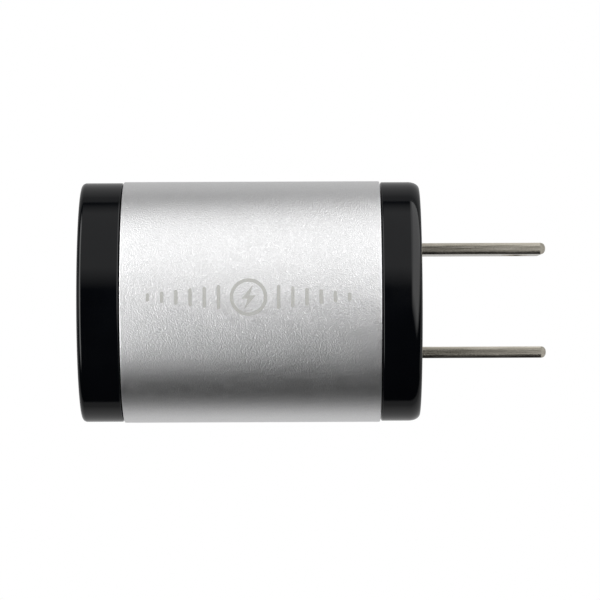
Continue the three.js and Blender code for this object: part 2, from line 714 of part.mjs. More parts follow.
// A two-terminal part under the board.
function twoTerminal(name, at, [length, width, height], coat, turn = 0) {
  const top = BOARD_BOTTOM - PART_GAP;
  const body = upwards(roundedRectangle(length, width, 0.15), top - height, top, 1);
  place(name, body, coat, [...at, 0]).rotation.z = turn;
}

const DIODE_SIZE = [4.3, 2.6, 2.1];
const RESISTOR_SIZE = [3.2, 1.6, 0.6];
const CHIP_CAPACITOR_SIZE = [3.2, 1.6, 1.3];
twoTerminal("output_diode", [-24.3, 0], DIODE_SIZE, EPOXY_BLACK, QUARTER_TURN);
twoTerminal("clamp_diode", [-13.2, 4.6], DIODE_SIZE, EPOXY_BLACK);
twoTerminal("sense_resistor", [-19.2, -2.0], RESISTOR_SIZE, EPOXY_BLACK);
twoTerminal("snubber_resistor", [-13.8, 1.0], RESISTOR_SIZE, EPOXY_BLACK);
twoTerminal("bleed_resistor", [-34.0, 2.6], RESISTOR_SIZE, EPOXY_BLACK);
twoTerminal("filter_capacitor", [-34.0, -2.6], CHIP_CAPACITOR_SIZE, CHIP_CERAMIC);

// A disc safety capacitor standing beside the transformer, with its two straight leads.
function addSafetyCapacitor() {
  const disc = { x: -21.2, y: -7.9, radius: 3.4, half: 1.4, pitch: 5.0 };
  const z = BOARD_TOP + PART_GAP + disc.radius + 0.1;
  const profile = [
    [0, -disc.half],
    [disc.radius - 0.9, -disc.half],
    [disc.radius - 0.2, -disc.half * 0.55],
    [disc.radius, 0],
    [disc.radius - 0.2, disc.half * 0.55],
    [disc.radius - 0.9, disc.half],
    [0, disc.half],
  ];
  const body = new THREE.LatheGeometry(profile.map(([r, h]) => new THREE.Vector2(r, h)), 20);
  const solids = [toSolid(body)];
  for (const side of [-1, 1]) {
    const x = (side * disc.pitch) / 2;
    solids.push(block(around(x, LEAD / 2), around(0, LEAD / 2), [BOARD_BOTTOM - LEAD_END - z, -1.2]));
    drilled.push([disc.x + x, disc.y]);
  }
  place("safety_capacitor", toGeometry(join(...solids)), CERAMIC_BLUE, [disc.x, disc.y, z]);
}

addSafetyCapacitor();

// Insulated wires from the blades' solder tabs to the board.
const WIRE = { diameter: 1.1, holeX: -6.35, holeY: 7.7 };
for (const [name, side, jacket] of [
  ["line_wire", 1, WIRE_JACKET],
  ["neutral_wire", -1, WIRE_JACKET_DARK],
]) {
  const y = (side * BLADE.spacing) / 2;
  const route = [
    [-BLADE.tail - 0.3, y, -0.9],
    [-5.4, y + side * 0.15, -0.9],
    [WIRE.holeX, side * (WIRE.holeY - 0.1), -1.9],
    [WIRE.holeX, side * WIRE.holeY, BOARD_TOP],
    [WIRE.holeX, side * WIRE.holeY, BOARD_BOTTOM - LEAD_END],
  ];
  place(name, wire(route, WIRE.diameter, 14), jacket);
}

// ---------------------------------------------------------------- circuit board

function makeBoard() {
  const { front, rear, halfWidth } = BOARD;
  const plan = roundedRectangle(rear - front, 2 * halfWidth, 1.2);
  const plate = upwards(plan, BOARD_BOTTOM, BOARD_TOP, 4).translate((front + rear) / 2, 0, 0);
  const through = ([x, y], halfX, halfY) => {
    return block(around(x, halfX), around(y, halfY), [BOARD_BOTTOM - 1, BOARD_TOP + 1]);
  };
  const holes = drilled.map((at) => through(at, LEAD_HOLE / 2, LEAD_HOLE / 2));
  for (const y of CONTACT_PITCH) {
    holes.push(through([X_TAIL_BEND, y], 0.35, 0.6));
  }
  const wireReach = WIRE.diameter / 2 + 0.1;
  for (const side of [-1, 1]) {
    for (const x of LEG.x) {
      holes.push(through([x, side * (SHELL_Y - PORT.sheet / 2)], LEG.width / 2 + 0.25, 0.45));
    }
    holes.push(through([WIRE.holeX, side * WIRE.holeY], wireReach, wireReach));
  }
  // The routed slot keeps the mains side apart from the output side.
  holes.push(through([TRANSFORMER.x, TRANSFORMER.y], 0.5, 4.3));
  return toGeometry(cut(toSolid(plate), ...holes));
}

place("circuit_board", makeBoard(), BOARD_LAMINATE);

export default charger;
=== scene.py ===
"""Looks of the USB wall charger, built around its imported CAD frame.

Blender lengths are in metres. A name that ends in _MM holds millimetres, and mm() turns those into metres.
"""
import json
import math

import bmesh
import bpy
import numpy as np
from mathutils import Matrix, Vector


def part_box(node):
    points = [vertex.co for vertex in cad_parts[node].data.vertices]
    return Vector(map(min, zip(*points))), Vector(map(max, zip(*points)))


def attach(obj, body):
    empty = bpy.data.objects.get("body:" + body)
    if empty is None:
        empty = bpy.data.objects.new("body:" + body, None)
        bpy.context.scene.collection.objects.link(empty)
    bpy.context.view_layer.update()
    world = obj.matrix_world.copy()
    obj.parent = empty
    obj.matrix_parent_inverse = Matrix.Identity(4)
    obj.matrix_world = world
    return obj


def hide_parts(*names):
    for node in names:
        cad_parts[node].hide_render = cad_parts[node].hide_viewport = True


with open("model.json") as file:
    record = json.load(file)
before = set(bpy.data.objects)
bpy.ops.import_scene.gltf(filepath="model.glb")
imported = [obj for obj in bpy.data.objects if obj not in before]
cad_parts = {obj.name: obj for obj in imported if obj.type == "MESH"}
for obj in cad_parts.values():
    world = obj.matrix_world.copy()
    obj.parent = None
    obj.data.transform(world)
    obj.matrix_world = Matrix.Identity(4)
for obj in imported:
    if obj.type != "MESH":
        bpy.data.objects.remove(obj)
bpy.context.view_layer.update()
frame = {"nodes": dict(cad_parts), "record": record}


def mm(value):
    return value * 0.001


# ---------------------------------------------------------------- places taken from the frame

SLEEVE_LOW, SLEEVE_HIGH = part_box("metal_sleeve")
FRONT_LOW, FRONT_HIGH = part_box("front_cap")
REAR_LOW, REAR_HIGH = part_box("rear_housing")
BLADE_LOW, BLADE_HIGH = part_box("blade_line")
SHELL_LOW, SHELL_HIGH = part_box("usb_shell")
BODY = "charger"

# The sleeve's outer surface is this far inside the CAD box, which leaves room for the printed mark.
PRINT = mm(0.016)
HALF_WIDTH = SLEEVE_HIGH.y - PRINT
HALF_DEPTH = SLEEVE_HIGH.z - PRINT
CAP_STEP = SLEEVE_HIGH.y - FRONT_HIGH.y
SLEEVE_WALL = mm(0.9)
TUBE_INSET = mm(1.05)  # the insulating tube's outer surface, in from the sleeve's
ROOM_INSET = mm(2.25)  # the insulating tube's inner surface, in from the sleeve's outer one
END_WALL = mm(2.0)
SEAM_GAP = mm(0.12)  # the open groove between the sleeve and each cap
REAR_SEAM = SLEEVE_HIGH.x + SEAM_GAP
FRONT_SEAM = SLEEVE_LOW.x - SEAM_GAP
SHELL_HALF_Y = SHELL_HIGH.y
SHELL_HALF_Z = SHELL_HIGH.z
SHEET = mm(0.3)  # thickness of the port shell's metal
ROUND_STEPS = 256
OVERSHOOT = mm(1)  # how far a cutter reaches beyond what it cuts
# The middle point of a two-step broken edge lies this part of the edge's width from either side.
EDGE_KNEE = 0.3
SHARP_ANGLE = math.radians(35)


# ---------------------------------------------------------------- mesh helpers

def ellipse(x, inset):
    """A ring of the body's section at x, moved in from the sleeve's outer surface by inset."""
    turn = np.linspace(0, 2 * math.pi, ROUND_STEPS, endpoint=False)
    y = (HALF_WIDTH - inset) * np.cos(turn)
    z = (HALF_DEPTH - inset) * np.sin(turn)
    return np.stack([np.full(ROUND_STEPS, x), y, z], axis=1)


def rounded_rectangle(x, width, height, radius, steps=ROUND_STEPS, centre=(0.0, 0.0)):
    """A ring of evenly spaced points round a rectangle with round corners, starting at +Y."""
    flat_y, flat_z = width / 2 - radius, height / 2 - radius
    sides = [2 * flat_z, 2 * flat_y, 2 * flat_z, 2 * flat_y]
    corner = radius * math.pi / 2
    total = sum(sides) + 4 * corner
    ring = []
    for i in range(steps):
        along = (total * i / steps + flat_z) % total
        for quarter in range(4):
            turn = quarter * math.pi / 2
            out = Vector((math.cos(turn), math.sin(turn)))
            side = Vector((-out.y, out.x))
            reach, half = (flat_y, flat_z) if quarter % 2 == 0 else (flat_z, flat_y)
            if along <= sides[quarter]:
                point = out * (reach + radius) + side * (along - half)
                break
            along -= sides[quarter]
            if along <= corner:
                angle = along / radius
                point = out * reach + side * half
                point += (out * math.cos(angle) + side * math.sin(angle)) * radius
                break
            along -= corner
        ring.append((x, point.x + centre[0], point.y + centre[1]))
    return np.array(ring)


def fillet(end, inward, axial, radial, steps=10):
    """Pairs of (x, inset) round the edge of an end face, from the face to the side."""
    pairs = []
    for i in range(steps + 1):
        turn = i / steps * math.pi / 2
        pairs.append((end + inward * axial * (1 - math.cos(turn)), radial * (1 - math.sin(turn))))
    return pairs


def new_object(name, data):
    """An object in the scene that shows a mesh, a light or a camera."""
    thing = bpy.data.objects.new(name, data)
    bpy.context.scene.collection.objects.link(thing)
    return thing


def mesh_object(name, vertices, faces):
    """An object made of the given points and faces, smooth where it bends gently."""
    mesh = bpy.data.meshes.new(name)
    mesh.from_pydata([tuple(v) for v in vertices], [], faces)
    mesh.update()
    shade(mesh)
    return new_object(name, mesh)


def shade(mesh):
    """Smooth shading, but for edges where the surface turns by more than SHARP_ANGLE."""
    mesh.shade_smooth()
    mesh.set_sharp_from_angle(angle=SHARP_ANGLE)


def loft(name, rings, loop=False):
    """A closed mesh through rings of equally many points. Its ends are capped, or joined if it is a loop."""
    count = len(rings[0])
    vertices = np.concatenate(rings)
    faces = []
    for k in range(len(rings) if loop else len(rings) - 1):
        a, b = k * count, (k + 1) % len(rings) * count
        for i in range(count):
            j = (i + 1) % count
            faces.append((a + i, a + j, b + j, b + i))
    if not loop:
        last = (len(rings) - 1) * count
        faces.append(tuple(reversed(range(count))))
        faces.append(tuple(range(last, last + count)))
    piece = mesh_object(name, vertices, faces)
    face_outwards(piece.data)
    return piece


def face_outwards(mesh):
    edit = bmesh.new()
    edit.from_mesh(mesh)
    bmesh.ops.recalc_face_normals(edit, faces=edit.faces)
    edit.to_mesh(mesh)
    edit.free()


def box_mesh(name, low, high):
    """A box, used for cutting and joining."""
    middle = (Vector(low) + Vector(high)) / 2
    size = Vector(high) - Vector(low)
    edit = bmesh.new()
    place = Matrix.Translation(middle) @ Matrix.Diagonal((*size, 1))
    bmesh.ops.create_cube(edit, size=1, matrix=place)
    mesh = bpy.data.meshes.new(name)
    edit.to_mesh(mesh)
    edit.free()
    return new_object(name, mesh)


def combine(piece, tools, operation):
    """Joins or cuts a piece with closed tools, applies the result, and removes the tools."""
    for tool in tools:
        modifier = piece.modifiers.new("combine", "BOOLEAN")
        modifier.operation = operation
        modifier.solver = "EXACT"
        modifier.object = tool
    bake(piece)
    for tool in tools:
        bpy.data.objects.remove(tool)


def bake(piece):
    """Applies the piece's modifiers to its mesh."""
    depsgraph = bpy.context.evaluated_depsgraph_get()
    done = bpy.data.meshes.new_from_object(piece.evaluated_get(depsgraph))
    piece.modifiers.clear()
    piece.data = done


def weigh_normals(piece):
    """Lets the large faces set the shading, so that flat faces stay flat beside their rounded edges."""
    modifier = piece.modifiers.new("weighted", "WEIGHTED_NORMAL")
    modifier.keep_sharp = True
    modifier.weight = 100


def finish_piece(piece, material, node):
    """Gives a piece its material, and puts it in the place of a CAD node that is part of the charger body."""
    piece.data.materials.clear()
    piece.data.materials.append(material)
    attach(piece, BODY)
    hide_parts(node)


# ---------------------------------------------------------------- material helpers

class Nodes:
    """A material of one Principled shader, with short calls for the texture nodes that feed it."""

    def __init__(self, name, **sockets):
        self.material = bpy.data.materials.new(name)
        self.material.use_nodes = True
        self.tree = self.material.node_tree
        self.shader = self.tree.nodes["Principled BSDF"]
        for socket, value in sockets.items():
            self.shader.inputs[socket.replace("_", " ")].default_value = value

    def add(self, kind, **settings):
        node = self.tree.nodes.new(kind)
        for key, value in settings.items():
            setattr(node, key, value)
        return node

    def link(self, source, target):
        self.tree.links.new(source, target)

    def place(self, scale=(1, 1, 1)):
        """The piece's own coordinates in metres, stretched by scale."""
        mapping = self.add("ShaderNodeMapping")
        mapping.inputs["Scale"].default_value = scale
        self.link(self.add("ShaderNodeTexCoord").outputs["Object"], mapping.inputs["Vector"])
        return mapping.outputs["Vector"]

    def share_of_box(self, axis):
        """How far along the piece's own box a point lies on the given axis, from 0 to 1."""
        place = self.add("ShaderNodeSeparateXYZ")
        self.link(self.add("ShaderNodeTexCoord").outputs["Generated"], place.inputs["Vector"])
        return place.outputs[axis]

    def noise(self, size, detail=2.0, stretch=(1, 1, 1), roughness=0.5):
        """Noise whose bumps are about size metres across, before the stretch."""
        node = self.add("ShaderNodeTexNoise")
        node.inputs["Scale"].default_value = 1 / size
        node.inputs["Detail"].default_value = detail
        node.inputs["Roughness"].default_value = roughness
        self.link(self.place(stretch), node.inputs["Vector"])
        return node.outputs["Fac"]

    def spread(self, value, low, high, from_low=0.3, from_high=0.7):
        """Carries a noise value over to the range from low to high."""
        node = self.add("ShaderNodeMapRange")
        node.inputs["From Min"].default_value = from_low
        node.inputs["From Max"].default_value = from_high
        node.inputs["To Min"].default_value = low
        node.inputs["To Max"].default_value = high
        self.link(value, node.inputs["Value"])
        return node.outputs["Result"]

    def colours(self, value, dark, light, from_low=0.3, from_high=0.7):
        """Blends from the dark to the light colour as the value rises."""
        ramp = self.add("ShaderNodeValToRGB")
        ramp.color_ramp.elements[0].position = from_low
        ramp.color_ramp.elements[1].position = from_high
        ramp.color_ramp.elements[0].color = (*dark, 1)
        ramp.color_ramp.elements[1].color = (*light, 1)
        self.link(value, ramp.inputs["Fac"])
        return ramp.outputs["Color"]

    def set(self, socket, source):
        self.link(source, self.shader.inputs[socket])

    def bump(self, *layers):
        """Stacks bumps, each given as (height source, depth in metres)."""
        normal = None
        for height, depth in layers:
            node = self.add("ShaderNodeBump")
            node.inputs["Strength"].default_value = 1.0
            node.inputs["Distance"].default_value = depth
            self.link(height, node.inputs["Height"])
            if normal is not None:
                self.link(normal, node.inputs["Normal"])
            normal = node.outputs["Normal"]
        self.set("Normal", normal)


# ---------------------------------------------------------------- materials

def satin_aluminium():
    """Bead-blasted aluminium: a soft sheen broken up by small dents and by a speckle of paler grains."""
    m = Nodes("satin_aluminium", Metallic=1.0)
    dents = m.noise(mm(0.15), detail=1)
    speckle = m.noise(mm(0.13), detail=1)
    m.set("Base Color", m.colours(speckle, (0.85, 0.85, 0.855), (0.92, 0.92, 0.925)))
    m.set("Roughness", m.spread(m.noise(mm(1.5), detail=4), 0.33, 0.36))
    m.bump((dents, mm(0.036)))
    return m.material


def gloss_black():
    """Polished black polycarbonate, with the faint unevenness that any moulding has."""
    m = Nodes("gloss_black", IOR=1.46)
    clouds = m.noise(mm(6))
    m.set("Base Color", m.colours(clouds, (0.0012, 0.0015, 0.0022), (0.0018, 0.0022, 0.0031)))
    m.set("Roughness", m.spread(m.noise(mm(3), detail=4), 0.08, 0.12))
    m.bump((m.noise(mm(5), detail=1), mm(0.004)))
    return m.material


def nickel():
    """Nickel plate over drawn brass, with fine marks along the blade."""
    m = Nodes("nickel_plate", Metallic=1.0)
    drawn = m.noise(mm(0.14), detail=3, stretch=(0.03, 1, 1), roughness=0.6)
    m.set("Base Color", m.colours(drawn, (0.45, 0.415, 0.345), (0.69, 0.65, 0.565)))
    m.set("Roughness", m.spread(drawn, 0.16, 0.24))
    m.bump((drawn, mm(0.007)))
    return m.material


def print_ink():
    """The warm grey of the printed mark."""
    m = Nodes("print_ink", Roughness=0.5)
    grains = m.noise(mm(0.12), detail=2)
    m.set("Base Color", m.colours(grains, (0.42, 0.42, 0.40), (0.48, 0.48, 0.46)))
    m.bump((m.noise(mm(0.2), detail=2), mm(0.006)))
    return m.material


def grey(level):
    return (level, level, level)


def plain(name, dark, light, roughness, size=mm(0.4), depth=mm(0.004), stretch=(1, 1, 1), **sockets):
    """A material with a mottled colour and a fine bump. Its mottling is about size across."""
    m = Nodes(name, **sockets)
    mottle = m.noise(size, detail=3, stretch=stretch)
    m.set("Base Color", m.colours(mottle, dark, light))
    m.set("Roughness", m.spread(mottle, roughness * 0.85, min(1.0, roughness * 1.2)))
    m.bump((mottle, depth))
    return m.material


def metal(name, dark, light, roughness, **settings):
    return plain(name, dark, light, roughness, Metallic=1.0, **settings)


def banded(name, coat, bands, roughness):
    """A coated part with painted bands. Each band is (place along the part from 0 to 1, colour)."""
    band_width = 0.07
    m = Nodes(name)
    ramp = m.add("ShaderNodeValToRGB")
    ramp.color_ramp.interpolation = "CONSTANT"
    stops = [(0.0, coat)]
    for start, colour in bands:
        stops += [(start, colour), (start + band_width, coat)]
    elements = ramp.color_ramp.elements
    while len(elements) < len(stops):
        elements.new(1.0)
    for element, (position, colour) in zip(elements, stops):
        element.position = position
        element.color = (*colour, 1)
    m.link(m.share_of_box("X"), ramp.inputs["Fac"])
    m.set("Base Color", ramp.outputs["Color"])
    mottle = m.noise(mm(0.5), detail=2)
    m.set("Roughness", m.spread(mottle, roughness * 0.85, roughness * 1.15))
    m.bump((mottle, mm(0.02)))
    return m.material


def wrap(name, film, stripe):
    """A capacitor's shrunk film, with the pale stripe that marks its negative side."""
    stripe_middle, stripe_half_width = 0.5, 0.09
    m = Nodes(name)
    on_stripe = m.add("ShaderNodeMath", operation="COMPARE")
    m.link(m.share_of_box("Y"), on_stripe.inputs[0])
    on_stripe.inputs[1].default_value = stripe_middle
    on_stripe.inputs[2].default_value = stripe_half_width
    m.set("Base Color", m.colours(on_stripe.outputs["Value"], film, stripe, 0.49, 0.51))
    crinkle = m.noise(mm(1.2), detail=3, stretch=(0.4, 1, 1))
    m.set("Roughness", m.spread(crinkle, 0.22, 0.36))
    m.bump((crinkle, mm(0.03)))
    return m.material


# The places of a Mix node's colour sockets, which share their names with its number sockets.
MIX_COLOUR_A = 6
MIX_COLOUR_B = 7
MIX_COLOUR_RESULT = 2


def laminate():
    """Paper laminate: tan above, and a green lacquer over copper lands below."""
    m = Nodes("board_laminate")
    place = m.add("ShaderNodeSeparateXYZ")
    m.link(m.place(), place.inputs["Vector"])
    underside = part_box("circuit_board")[0].z
    above = m.spread(place.outputs["Z"], 0, 1, underside + mm(0.02), underside + mm(0.03))
    fibres = m.noise(mm(0.6), detail=4, stretch=(0.3, 1, 1))
    paper = m.colours(fibres, (0.30, 0.19, 0.06), (0.42, 0.28, 0.10))
    tracks = m.noise(mm(3.0), detail=0)
    lands = m.colours(tracks, (0.02, 0.11, 0.04), (0.05, 0.20, 0.06), 0.49, 0.5)
    mix = m.add("ShaderNodeMix", data_type="RGBA")
    m.link(above, mix.inputs["Factor"])
    m.link(lands, mix.inputs[MIX_COLOUR_A])
    m.link(paper, mix.inputs[MIX_COLOUR_B])
    m.set("Base Color", mix.outputs[MIX_COLOUR_RESULT])
    m.set("Roughness", m.spread(m.noise(mm(0.5)), 0.42, 0.6))
    m.bump((m.noise(mm(0.25), detail=3, stretch=(0.3, 1, 1)), mm(0.006)))
    return m.material


def inside_finishes():
    """The material of every slot whose pieces keep their CAD shape."""
    brown = (0.12, 0.04, 0.01)
    black = (0.01, 0.01, 0.01)
    red = (0.5, 0.02, 0.01)
    gold = (0.5, 0.3, 0.05)
    resistor_bands = [(0.18, brown), (0.32, black), (0.46, gold), (0.72, red)]
    inductor_bands = [(0.2, brown), (0.36, black), (0.52, red), (0.74, gold)]
    return {
        "port_plastic": plain("port_plastic", (0.70, 0.68, 0.62), (0.78, 0.76, 0.70), 0.42, size=mm(0.3)),
        "gold_flash": metal("gold_flash", (0.80, 0.55, 0.22), (0.92, 0.68, 0.32), 0.24, stretch=(0.15, 1, 1)),
        "board_laminate": laminate(),
        "ferrite": plain("ferrite", (0.022, 0.022, 0.025), (0.045, 0.045, 0.048), 0.55, size=mm(0.15)),
        "phenolic": plain("phenolic", grey(0.008), grey(0.016), 0.45),
        "polyester_tape": plain(
            "polyester_tape", (0.70, 0.50, 0.03), (0.82, 0.60, 0.06), 0.3, stretch=(1, 0.2, 1)
        ),
        "can_aluminium": metal(
            "can_aluminium", (0.72, 0.72, 0.74), (0.84, 0.84, 0.86), 0.3, stretch=(0.1, 1, 1)
        ),
        "black_wrap": wrap("black_wrap", (0.008, 0.008, 0.010), (0.45, 0.45, 0.46)),
        "green_wrap": wrap("green_wrap", (0.010, 0.055, 0.026), (0.60, 0.52, 0.20)),
        "bung_rubber": plain("bung_rubber", grey(0.010), grey(0.020), 0.75, depth=mm(0.01)),
        "tinned_wire": metal("tinned_wire", grey(0.58), (0.72, 0.72, 0.71), 0.26, size=mm(0.2)),
        "resistor_coat": banded("resistor_coat", (0.15, 0.26, 0.36), resistor_bands, 0.55),
        "inductor_coat": banded("inductor_coat", (0.05, 0.24, 0.08), inductor_bands, 0.45),
        "epoxy_black": plain("epoxy_black", grey(0.006), grey(0.014), 0.55, size=mm(0.1)),
        "white_epoxy": plain("white_epoxy", (0.72, 0.72, 0.70), (0.80, 0.80, 0.78), 0.5, size=mm(0.1)),
        "ceramic_blue": plain(
            "ceramic_blue", (0.02, 0.12, 0.36), (0.04, 0.18, 0.46), 0.38, size=mm(0.8), depth=mm(0.05)
        ),
        "chip_ceramic": plain("chip_ceramic", (0.22, 0.13, 0.06), (0.30, 0.19, 0.09), 0.5, size=mm(0.2)),
        "red_jacket": plain("red_jacket", (0.28, 0.008, 0.006), (0.38, 0.016, 0.012), 0.4),
        "black_jacket": plain("black_jacket", (0.008, 0.008, 0.009), (0.018, 0.018, 0.019), 0.4),
    }


def tinned_steel():
    """Tin plate on stamped steel, with faint rolling marks along the shell."""
    rolled = {"size": mm(0.15), "depth": mm(0.004), "stretch": (0.08, 1, 1)}
    return metal("tinned_steel", (0.56, 0.56, 0.57), grey(0.70), 0.26, **rolled)


# ---------------------------------------------------------------- metal sleeve

def make_sleeve():
    """The tube between the caps, with its outer edges broken in two steps."""
    edge = mm(0.12)
    knee = edge * EDGE_KNEE
    front, rear = SLEEVE_LOW.x, SLEEVE_HIGH.x
    outline = [(front, edge), (front + knee, knee)]
    outline += [(x, 0) for x in np.linspace(front + edge, rear - edge, 9)]
    outline += [(rear - knee, knee), (rear, edge)]
    outline += [(rear, SLEEVE_WALL - edge), (rear - edge, SLEEVE_WALL)]
    outline += [(front + edge, SLEEVE_WALL), (front, SLEEVE_WALL - edge)]
    sleeve = loft("sleeve", [ellipse(x, inset) for x, inset in outline], loop=True)
    weigh_normals(sleeve)
    finish_piece(sleeve, satin_aluminium(), "metal_sleeve")


# ---------------------------------------------------------------- printed mark

MARK_MIDDLE = mm(-20.9)
MARK_Y = mm(0.35)
MARK_LINE = mm(0.42)
RING_RADIUS = mm(2.25)
LEVEL_BARS = {"count": 6, "first": mm(3.6), "pitch": mm(1.7), "tallest": mm(2.9), "step": mm(0.38)}


def ring_outlines():
    turn = np.linspace(0, 2 * math.pi, 96, endpoint=False)
    circle = np.stack([np.cos(turn), np.sin(turn)], axis=1)
    return [circle * RING_RADIUS, circle * (RING_RADIUS - MARK_LINE)]


def bolt_outline():
    """A plain lightning stroke: two slanting wedges that meet along a step."""
    half = [(0.55, 1.5), (-0.85, -0.2), (-0.12, -0.2)]
    return np.array(half + [(-x, -y) for x, y in half]) * mm(1)


def bar_outlines():
    """Upright strokes to either side of the ring, each shorter than the one before it."""
    bars = []
    for i in range(LEVEL_BARS["count"]):
        height = LEVEL_BARS["tallest"] - i * LEVEL_BARS["step"]
        for side in (-1, 1):
            bars.append(upright_stroke(side * (LEVEL_BARS["first"] + i * LEVEL_BARS["pitch"]), height))
    return bars


def upright_stroke(x, height):
    """The outline of a vertical line with round ends."""
    radius = MARK_LINE / 2
    turn = np.linspace(0, math.pi, 9)
    reach = height / 2 - radius
    top = np.stack([x + np.cos(turn) * radius, reach + np.sin(turn) * radius], axis=1)
    bottom = np.stack([x - np.cos(turn) * radius, -reach - np.sin(turn) * radius], axis=1)
    return np.concatenate([top, bottom])


def make_mark():
    """A thin film of ink on the sleeve's top, cut into strips so that it follows the curve."""
    sheet = bmesh.new()
    outer, inner = ring_outlines()
    add_band(sheet, outer, inner)
    for outline in [bolt_outline(), *bar_outlines()]:
        sheet.faces.new([sheet.verts.new((x, y, 0)) for x, y in outline])
    strip_width = mm(0.2)
    reach = RING_RADIUS + strip_width / 2
    for y in np.arange(-reach, reach, strip_width):
        parts = sheet.verts[:] + sheet.edges[:] + sheet.faces[:]
        bmesh.ops.bisect_plane(sheet, geom=parts, plane_co=(0, y, 0), plane_no=(0, 1, 0))
    for face in sheet.faces:
        if face.normal.z < 0:
            face.normal_flip()
    mesh = bpy.data.meshes.new("printed_mark")
    for vertex in sheet.verts:
        vertex.co = on_sleeve(MARK_MIDDLE + vertex.co.x, MARK_Y + vertex.co.y)
    sheet.to_mesh(mesh)
    sheet.free()
    mark = new_object("printed_mark", mesh)
    film = mark.modifiers.new("film", "SOLIDIFY")
    film.thickness = PRINT
    film.offset = 0.5
    bake(mark)
    mark.data.materials.append(print_ink())
    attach(mark, BODY)


def add_band(sheet, outer, inner):
    """Flat faces between two outlines of equally many points."""
    rings = [[sheet.verts.new((x, y, 0)) for x, y in outline] for outline in (outer, inner)]
    for i in range(len(outer)):
        j = (i + 1) % len(outer)
        sheet.faces.new((rings[0][i], rings[0][j], rings[1][j], rings[1][i]))


def on_sleeve(x, y):
    return Vector((x, y, HALF_DEPTH * math.sqrt(1 - (y / HALF_WIDTH) ** 2)))


# ---------------------------------------------------------------- end caps

FRONT_FILLET = {"axial": mm(0.6), "radial": mm(0.6)}
REAR_FILLET = {"axial": mm(1.4), "radial": mm(0.8)}
SEAM_EDGE = mm(0.2)
PORT_OPENING = {"fit": mm(0.25), "lead_in": mm(0.2), "corner": mm(0.9)}
LUG = {"x": mm(-37.5), "half_length": mm(0.5), "half_height": mm(2.0), "rise": mm(0.35), "root": mm(0.6)}
LUG_FIT = mm(0.1)
BOSS = {"depth": mm(1.6), "half_thickness": mm(1.9), "half_width": mm(4.4), "overlap": mm(0.5)}
BLADE_FIT = mm(0.05)
BLADE_SLOT_START = mm(-4)
LEDGE = {"height": mm(0.7), "gap": mm(0.15)}
# The rails under and over the board. Each is (inner y, outer y, start x, end x).
LOWER_RAILS_MM = ((9.0, 10.9, -36.5, -28.5), (9.0, 10.9, -25.5, -16.5))
UPPER_RAILS_MM = ((9.7, 12.3, -36.5, -29.5),)


def cap_outline(end, seam, end_fillet):
    """Pairs of (x, inset) along a cap's outside, from its end face to its seam."""
    inward = 1 if seam > end else -1
    face = [(x, inset + CAP_STEP) for x, inset in fillet(end, inward, **end_fillet)]
    edge = [(x, inset + CAP_STEP) for x, inset in fillet(seam, -inward, SEAM_EDGE, SEAM_EDGE, steps=5)]
    return face + edge[::-1]


def lug(side, grow):
    """The catch on the tube's side that clicks into a pocket in the front cap, or that pocket."""
    reach = HALF_WIDTH - TUBE_INSET
    y = sorted((side * (reach - LUG["root"]), side * (reach + LUG["rise"] + grow)))
    half_x, half_z = LUG["half_length"] + grow, LUG["half_height"] + grow
    return box_mesh("lug", (LUG["x"] - half_x, y[0], -half_z), (LUG["x"] + half_x, y[1], half_z))


def port_opening(x, grow):
    """A ring of the front cap's opening round the port's shell."""
    reach = PORT_OPENING["fit"] + grow
    width, height = 2 * (SHELL_HALF_Y + reach), 2 * (SHELL_HALF_Z + reach)
    return rounded_rectangle(x, width, height, PORT_OPENING["corner"] + grow)


def make_front_cap(material):
    """The cap on the port's side, a shell with pockets for the tube's two lugs."""
    front = FRONT_LOW.x
    lead_in = PORT_OPENING["lead_in"]
    knee = lead_in * EDGE_KNEE
    rings = [port_opening(front + END_WALL, 0), port_opening(front + lead_in, 0)]
    rings += [port_opening(front + knee, knee), port_opening(front, lead_in)]
    rings += [ellipse(x, inset) for x, inset in cap_outline(front, FRONT_SEAM, FRONT_FILLET)]
    rings += [ellipse(FRONT_SEAM, SLEEVE_WALL), ellipse(front + END_WALL, SLEEVE_WALL)]
    cap = loft("front_end_cap", rings, loop=True)
    combine(cap, [lug(1, LUG_FIT), lug(-1, LUG_FIT)], "DIFFERENCE")
    shade(cap.data)
    weigh_normals(cap)
    finish_piece(cap, material, "front_cap")


def ledges(side):
    """The rails along one side of the tube that hold the circuit board's edge."""
    board_low, board_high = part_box("circuit_board")
    below = board_low.z - LEDGE["gap"] - LEDGE["height"]
    above = board_high.z + LEDGE["gap"]
    rails = []
    for z, rows in ((below, LOWER_RAILS_MM), (above, UPPER_RAILS_MM)):
        for inner, outer, start, end in rows:
            y = sorted((side * mm(inner), side * mm(outer)))
            rails.append(box_mesh("rail", (mm(start), y[0], z), (mm(end), y[1], z + LEDGE["height"])))
    return rails


def blade_seat(side):
    """The boss behind one blade, and the cutter of the slot that the blade passes through."""
    y = side * (BLADE_LOW.y + BLADE_HIGH.y) / 2
    half_y = (BLADE_HIGH.y - BLADE_LOW.y) / 2 + BLADE_FIT
    half_z = BLADE_HIGH.z + BLADE_FIT
    boss_low = (-END_WALL - BOSS["depth"], y - BOSS["half_thickness"], -BOSS["half_width"])
    boss_high = (-END_WALL + BOSS["overlap"], y + BOSS["half_thickness"], BOSS["half_width"])
    slot_low = (BLADE_SLOT_START, y - half_y, -half_z)
    slot = box_mesh("slot", slot_low, (OVERSHOOT, y + half_y, half_z))
    return box_mesh("boss", boss_low, boss_high), slot


